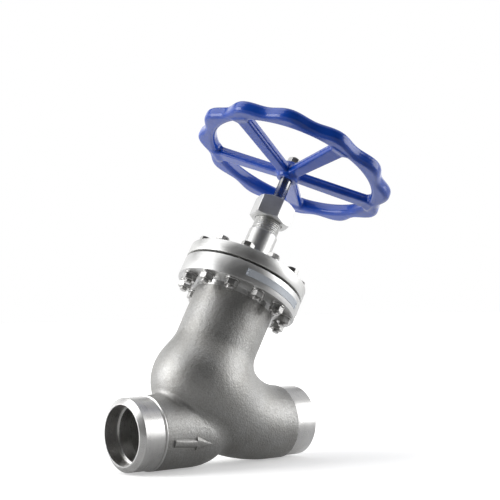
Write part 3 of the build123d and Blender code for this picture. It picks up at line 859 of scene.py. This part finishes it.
def bonnet_tube():
    """The tube above the bonnet flange, with the screw thread that the gland nut runs on."""
    foot = BONNET_FLANGE_S[1]
    thread_r, thread_top = GLAND_THREAD["radius"], GLAND_THREAD["top"]
    outside = fillet_arc((TUBE_R, foot), (TUBE_R + 2.0, foot), (TUBE_R, foot + 2.0))
    outside += [
        (TUBE_R, TUBE_TOP_S - 1.7),
        (TUBE_R - 0.15, TUBE_TOP_S - 1.4),
        (thread_r + 0.1, TUBE_TOP_S),
        (thread_r - 0.9, TUBE_TOP_S + 0.15),
        (thread_r - 0.9, TUBE_TOP_S + 1.2),
    ]
    rings = [ring(TUBE_BORE_R, foot - 0.5, ROUND), ring(TUBE_R + 2.0, foot - 0.5, ROUND)]
    rings += [ring(r, s, ROUND) for r, s in outside]
    rings += thread(thread_r, GLAND_THREAD["pitch"], TUBE_TOP_S + 1.5, THREAD_END_S, ROUND, 0.75)
    rings += [ring(thread_r - 1.05, thread_top, ROUND), ring(TUBE_BORE_R, thread_top, ROUND)]
    part = skin(rings, closed_loop=True)
    return add_piece("bonnet_tube", part, "valve_body", ["bonnet"], "machined_steel")


def bonnet_bolts():
    """Hexagon bolts from above, each with a washer face under its head and a threaded end."""
    seat = BONNET_FLANGE_S[1] + WASHER
    tip = seat - BOLT_LENGTH
    face_r, face_height = M8["flats"] / 2 * 0.93, 0.25
    rings = [ring(M8["radius"] - 0.9, tip, HEX), ring(M8["radius"] - 0.3, tip + 0.6, HEX)]
    rings += thread(M8["radius"], M8["pitch"], tip + 0.7, tip + BOLT_THREAD_LENGTH, HEX)
    rings += [ring(M8["radius"] - 0.1, seat, HEX), ring(face_r, seat, HEX)]
    rings += [ring(face_r, seat + face_height, HEX)]
    rings += hex_rings(M8["flats"], seat + face_height, seat + HEAD_HEIGHT, chamfer_bottom=False)
    part = copies_round(skin(rings), BOLT_COUNT, BOLT_PHASE, BOLT_CIRCLE_R)
    return add_piece("bonnet_bolt_set", part, "valve_body", ["bonnet_bolts"], "fastener_steel", sharp=20)


def nut_rings(flats, bore, bottom, top):
    """Rings round a hexagon nut with a countersunk bore."""
    rings = [ring(bore, bottom + 0.8, HEX), ring(bore + 0.8, bottom, HEX)]
    rings += hex_rings(flats, bottom, top)
    return rings + [ring(bore + 0.8, top, HEX), ring(bore, top - 0.8, HEX)]


def bonnet_nuts():
    top = BODY_FLANGE_S[0] - WASHER
    rings = nut_rings(M8["flats"], M8["radius"] + 0.05, top - NUT_HEIGHT, top)
    part = copies_round(skin(rings, closed_loop=True), BOLT_COUNT, BOLT_PHASE, BOLT_CIRCLE_R)
    return add_piece("bonnet_nut_set", part, "valve_body", ["bonnet_nuts"], "fastener_steel", sharp=20)


def gland_nut():
    """The large union nut, open below over the tube's thread and closed above round the stem."""
    low, high = GLAND_NUT_S
    hole_r = STEM_R + 0.25
    rings = [ring(GLAND_NUT_BORE_R, low + 1.2, HEX), ring(GLAND_NUT_BORE_R + 1.2, low, HEX)]
    rings += hex_rings(GLAND_NUT_FLATS, low, high)
    rings += [ring(hole_r + 1.15, high, HEX), ring(hole_r, high - 0.9, HEX)]
    rings += [ring(hole_r, GLAND_NUT_CEILING_S, HEX), ring(GLAND_NUT_BORE_R, GLAND_NUT_CEILING_S, HEX)]
    part = copies_round(skin(rings, closed_loop=True), 1, GLAND_NUT_TURN, 0.0)
    return add_piece("gland_hexagon", part, "valve_body", ["gland_nut"], "machined_steel", sharp=20)


def stem():
    """The spindle: head, back seat, shaft, the square for the handwheel and the stud on top."""
    turn = even(96)
    widest = np.maximum(np.abs(np.cos(turn)), np.abs(np.sin(turn)))
    square = np.minimum(STEM_SQUARE / 2 / widest, STEM_R - 0.4)
    profile = [
        (STEM_HEAD_R - 1.0, STEM_BOTTOM_S),
        (STEM_HEAD_R, STEM_BOTTOM_S + 1.0),
        (STEM_HEAD_R, STEM_HEAD_TOP_S),
        (STEM_R, STEM_HEAD_TOP_S),
        (STEM_R, BACK_SEAT_S),
        (BACK_SEAT_R, BACK_SEAT_S),
        (BACK_SEAT_R, BACK_SEAT_S + 3.0),
        (BACK_SEAT_R - 2.0, BACK_SEAT_S + 5.0),
        (STEM_R, BACK_SEAT_S + 5.0),
        (STEM_R, STEM_SHOULDER_S - 0.5),
        (STEM_R - 0.5, STEM_SHOULDER_S),
        (square, STEM_SHOULDER_S),
        (square, STEM_SQUARE_TOP_S),
        (M8["radius"] - 0.6, STEM_SQUARE_TOP_S),
    ]
    rings = [ring(r, s, turn) for r, s in profile]
    rings += thread(M8["radius"], M8["pitch"], STEM_SQUARE_TOP_S + 0.3, STUD_TOP_S - 0.9, turn)
    rings += [ring(M8["radius"] - 0.4, STUD_TOP_S - 0.5, turn), ring(M8["radius"] - 0.9, STUD_TOP_S, turn)]
    return add_piece("spindle_rod", skin(rings), "spindle", ["stem"], "stem_steel", sharp=20)


def handwheel():
    reach = RIM_OUTER_R + LOBE_HEIGHT + 2.5
    low, high = (-reach, -reach, HUB_S[0] - 2), (reach, reach, RIM_S[1] + 2)
    part = implicit_mesh(wheel_field, low, high, WHEEL_CELL)
    return add_piece("blue_handwheel", part, "spindle", ["handwheel"], "blue_paint", sharp=45)


def handwheel_nut():
    bottom = HUB_S[1] + WASHER
    rings = nut_rings(M8["flats"], M8["radius"] + 0.05, bottom, bottom + NUT_HEIGHT)
    part = skin(rings, closed_loop=True)
    return add_piece("wheel_nut", part, "spindle", ["handwheel_nut"], "fastener_steel", sharp=20)


cast_body()
flow_arrow()
weld_end("inlet_weld_end", INLET, INLET_R)
weld_end("outlet_weld_end", OUTLET, OUTLET_R)
body_flange()
bonnet_flange()
bonnet_tube()
bonnet_bolts()
bonnet_nuts()
gland_nut()
stem()
handwheel()
handwheel_nut()

CAD_MATERIALS = {
    "seat_ring": "machined_steel",
    "bonnet_gasket": "graphite",
    "bolt_head_washers": "fastener_steel",
    "bolt_nut_washers": "fastener_steel",
    "stem_bush": "bronze",
    "packing_base_ring": "machined_steel",
    "packing_rings": "graphite",
    "gland_follower": "machined_steel",
    "stem_wiper": "wiper_rubber",
    "nameplate": "plate_metal",
    "nameplate_rivets": "plate_metal",
    "disc": "machined_steel",
    "disc_nut": "machined_steel",
    "disc_seal_ring": "seal_plastic",
    "seal_retainer": "machined_steel",
    "retainer_screw": "fastener_steel",
    "thrust_pad": "bronze",
    "handwheel_washer": "fastener_steel",
}
for node, material in CAD_MATERIALS.items():
    dress(frame["nodes"][node], material)


# === Stage, light and camera =================================================================

FLOOR_Z = CAD_BOX[0][2]
FLOOR_HALF = 12.0
FLOOR_TONE, FRONT_TONE = 0.86, 0.3
MIDDLE = (0.14, 0.0, 0.12)
DARK_SIDE = (-0.62, -0.78, 0.0)
CAMERA_PLACE = (-0.74872, -1.12385, 0.12987)
CAMERA_RIGHT = Vector((0.77373, -0.63319, -0.02011))
CAMERA_FORWARD = Vector((0.63343, 0.77272, 0.04095))
CAMERA_LENS, CAMERA_SENSOR = 95.38, 36.0


def studio_floor():
    """A pale floor, whiter to the eye away from the valve and darker underfoot in front of it."""
    mesh = bpy.data.meshes.new("floor")
    low, high = -FLOOR_HALF, FLOOR_HALF
    corners = [(low, low), (high, low), (high, high), (low, high)]
    mesh.from_pydata([(x, y, FLOOR_Z - 0.0001) for x, y in corners], [], [(0, 1, 2, 3)])
    obj = bpy.data.objects.new("floor", mesh)
    bpy.context.scene.collection.objects.link(obj)
    g = Shader("floor")
    light_path = g.add("LightPath")
    seen = g.maths("ADD", light_path.outputs["Is Camera Ray"], light_path.outputs["Is Transmission Ray"])
    seen = g.maths("ADD", seen, g.maths("MULTIPLY", light_path.outputs["Is Glossy Ray"], 0.3))
    from_middle = g.vector("SUBTRACT", g.position(), MIDDLE)
    in_front = g.vector("DOT_PRODUCT", from_middle, DARK_SIDE)
    unseen_tone = g.ramp(in_front, -0.12, 0.12, FLOOR_TONE, FRONT_TONE, smooth=True)
    seen_tone = g.maths("MULTIPLY", light_path.outputs["Is Camera Ray"], FLOOR_TONE)
    tone = g.maths("MAXIMUM", unseen_tone, seen_tone)
    distance = g.vector("LENGTH", from_middle, (0, 0, 0))
    glow = g.ramp(distance, 0.2, 0.8, 0.38, 0.9, smooth=True)
    g.set(base_color=tone, roughness=0.9, specular_ior_level=0.1)
    g.set(emission_color=(1, 1, 1, 1), emission_strength=g.maths("MULTIPLY", seen, glow))
    mesh.materials.append(g.material)


def world_light():
    """A white sweep low down at the back and sides, a soft glow overhead, and a dark front."""
    world = bpy.data.worlds.new("studio")
    bpy.context.scene.world = world
    g = Graph(world)
    direction = g.add("TexCoord").outputs["Generated"]
    height = g.vector("DOT_PRODUCT", direction, (0, 0, 1))
    front = g.vector("DOT_PRODUCT", direction, DARK_SIDE)
    sweep = g.ramp(front, 0.2, 0.5, 1.0, 0.0, smooth=True)
    low = g.ramp(height, 0.38, 0.6, 1.2, 0.0, smooth=True)
    overhead = g.ramp(height, 0.56, 0.76, 0.0, 0.7, smooth=True)
    away = g.ramp(front, 0.1, 0.45, 1.0, 0.0, smooth=True)
    level = g.maths("MAXIMUM", g.maths("MULTIPLY", sweep, low), g.maths("MULTIPLY", overhead, away))
    soft = g.add("Background")
    soft.inputs["Color"].default_value = (1, 1, 1, 1)
    g.link(g.maths("ADD", level, 0.04), soft.inputs["Strength"])
    white = g.add("Background")
    white.inputs["Color"].default_value = (1, 1, 1, 1)
    pick = g.add("MixShader")
    light_path = g.add("LightPath")
    seen = g.maths("ADD", light_path.outputs["Is Camera Ray"], light_path.outputs["Is Transmission Ray"])
    g.link(seen, pick.inputs["Fac"])
    g.link(soft.outputs["Background"], pick.inputs[1])
    g.link(white.outputs["Background"], pick.inputs[2])
    g.link(pick.outputs["Shader"], g.add("OutputWorld").inputs["Surface"])


def soft_box(name, place, target, size, power):
    light = bpy.data.lights.new(name, "AREA")
    light.shape = "RECTANGLE"
    light.size, light.size_y = size
    light.energy = power
    obj = bpy.data.objects.new(name, light)
    obj.location = place
    obj.rotation_euler = (Vector(target) - Vector(place)).to_track_quat("-Z", "Y").to_euler()
    bpy.context.scene.collection.objects.link(obj)


def camera():
    data = bpy.data.cameras.new("camera")
    data.lens = CAMERA_LENS
    data.sensor_width = CAMERA_SENSOR
    obj = bpy.data.objects.new("camera", data)
    up = CAMERA_RIGHT.cross(CAMERA_FORWARD)
    turn = Matrix((CAMERA_RIGHT, up, -CAMERA_FORWARD)).transposed()
    obj.matrix_world = Matrix.Translation(CAMERA_PLACE) @ turn.to_4x4()
    bpy.context.scene.collection.objects.link(obj)
    bpy.context.scene.camera = obj


studio_floor()
world_light()
soft_box("left_box", (-1.1, 0.65, 0.6), MIDDLE, (0.9, 1.2), 15)
soft_box("right_box", (1.25, -0.9, 0.45), MIDDLE, (0.9, 1.2), 9)
soft_box("top_box", (-0.3, 0.5, 1.35), MIDDLE, (1.1, 1.1), 5)
camera()
bpy.context.scene.view_settings.view_transform = "Standard"
